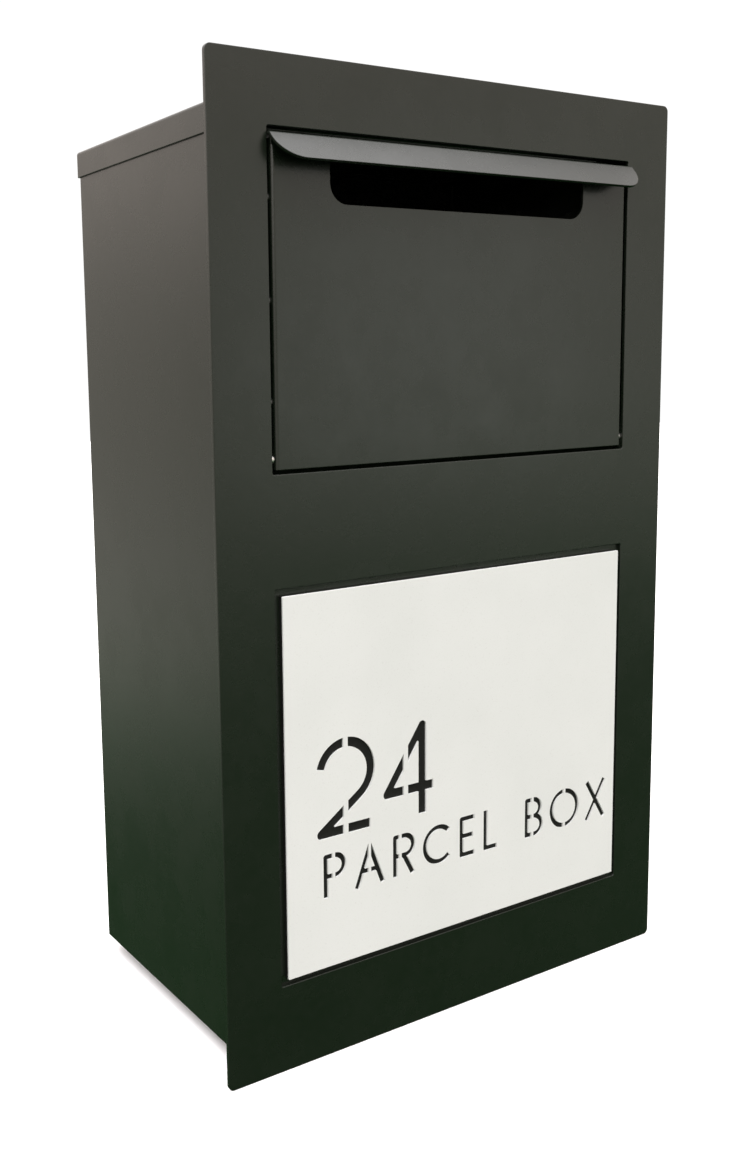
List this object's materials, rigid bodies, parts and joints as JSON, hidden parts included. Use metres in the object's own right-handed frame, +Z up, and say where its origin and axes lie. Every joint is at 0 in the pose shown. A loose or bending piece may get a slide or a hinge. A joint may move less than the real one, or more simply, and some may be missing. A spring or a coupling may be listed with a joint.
{
  "type": "parcel drop box",
  "caption": "Build-in parcel drop box with a wide fascia, a pull-down hopper with a hooded letter slot, a cut-out number plate and a lockable rear door.",
  "frame": {"origin": "middle of the underside of the base, where the box rests in its wall opening", "axes": "+Y from the fascia into the wall, +X to the right seen from the street, +Z up"},
  "size_m": [0.43, 0.2669, 0.708],
  "materials": {
    "powder_coat": "fine satin powder coat, near-black green grey",
    "plate_white": "matt white powder coat with a fine speckle",
    "zinc_steel": "bright zinc plated steel",
    "lock_chrome": "polished plated zinc",
    "rubber_black": "matt black rubber",
    "liner_black": "matt black acrylic sheet"
  },
  "bodies": {
    "box": {"fascia": "powder_coat", "fascia_studs": "zinc_steel", "fascia_nuts": "zinc_steel", "side_left": "powder_coat", "side_right": "powder_coat", "base_pan": "powder_coat", "top_cap": "powder_coat", "rear_header": "powder_coat", "plate_backing": "powder_coat", "plate_liner": "liner_black", "number_plate": "plate_white", "bracket_left": "powder_coat", "bracket_right": "powder_coat", "hopper_pins": "zinc_steel", "hopper_spacers": "zinc_steel", "stop_rail": "powder_coat", "stop_pads": "rubber_black", "rear_stop_strips": "powder_coat", "rear_stop_pads": "rubber_black", "rear_hinge_fixed": "zinc_steel", "rear_hinge_pins": "zinc_steel", "frame_rivets": "zinc_steel"},
    "hopper": {"door_skin": "powder_coat", "cheek_left": "powder_coat", "cheek_right": "powder_coat", "chute": "powder_coat", "cheek_rivets": "zinc_steel", "stop_studs": "zinc_steel", "stop_buffers": "rubber_black"},
    "rear_door": {"rear_door": "powder_coat", "rear_stiffener": "powder_coat", "rear_hinge_moving": "zinc_steel", "door_rivets": "zinc_steel", "lock_housing": "lock_chrome", "lock_nut": "zinc_steel"},
    "lock": {"lock_plug": "lock_chrome", "lock_cam": "zinc_steel", "cam_screw": "zinc_steel"}
  },
  "joints": [
    {"name": "hopper_hinge", "type": "hinge", "parent": "box", "child": "hopper", "pos_m": [0, -0.1178, 0.43], "axis": [1, 0, 0], "range_deg": [0, 60]},
    {"name": "rear_door_hinge", "type": "hinge", "parent": "box", "child": "rear_door", "pos_m": [-0.1755, 0.1225, 0.32], "axis": [0, 0, 1], "range_deg": [0, 110]},
    {"name": "lock_turn", "type": "hinge", "parent": "rear_door", "child": "lock", "pos_m": [0.15, 0.12, 0.3205], "axis": [0, -1, 0], "range_deg": [0, 90]}
  ]
}
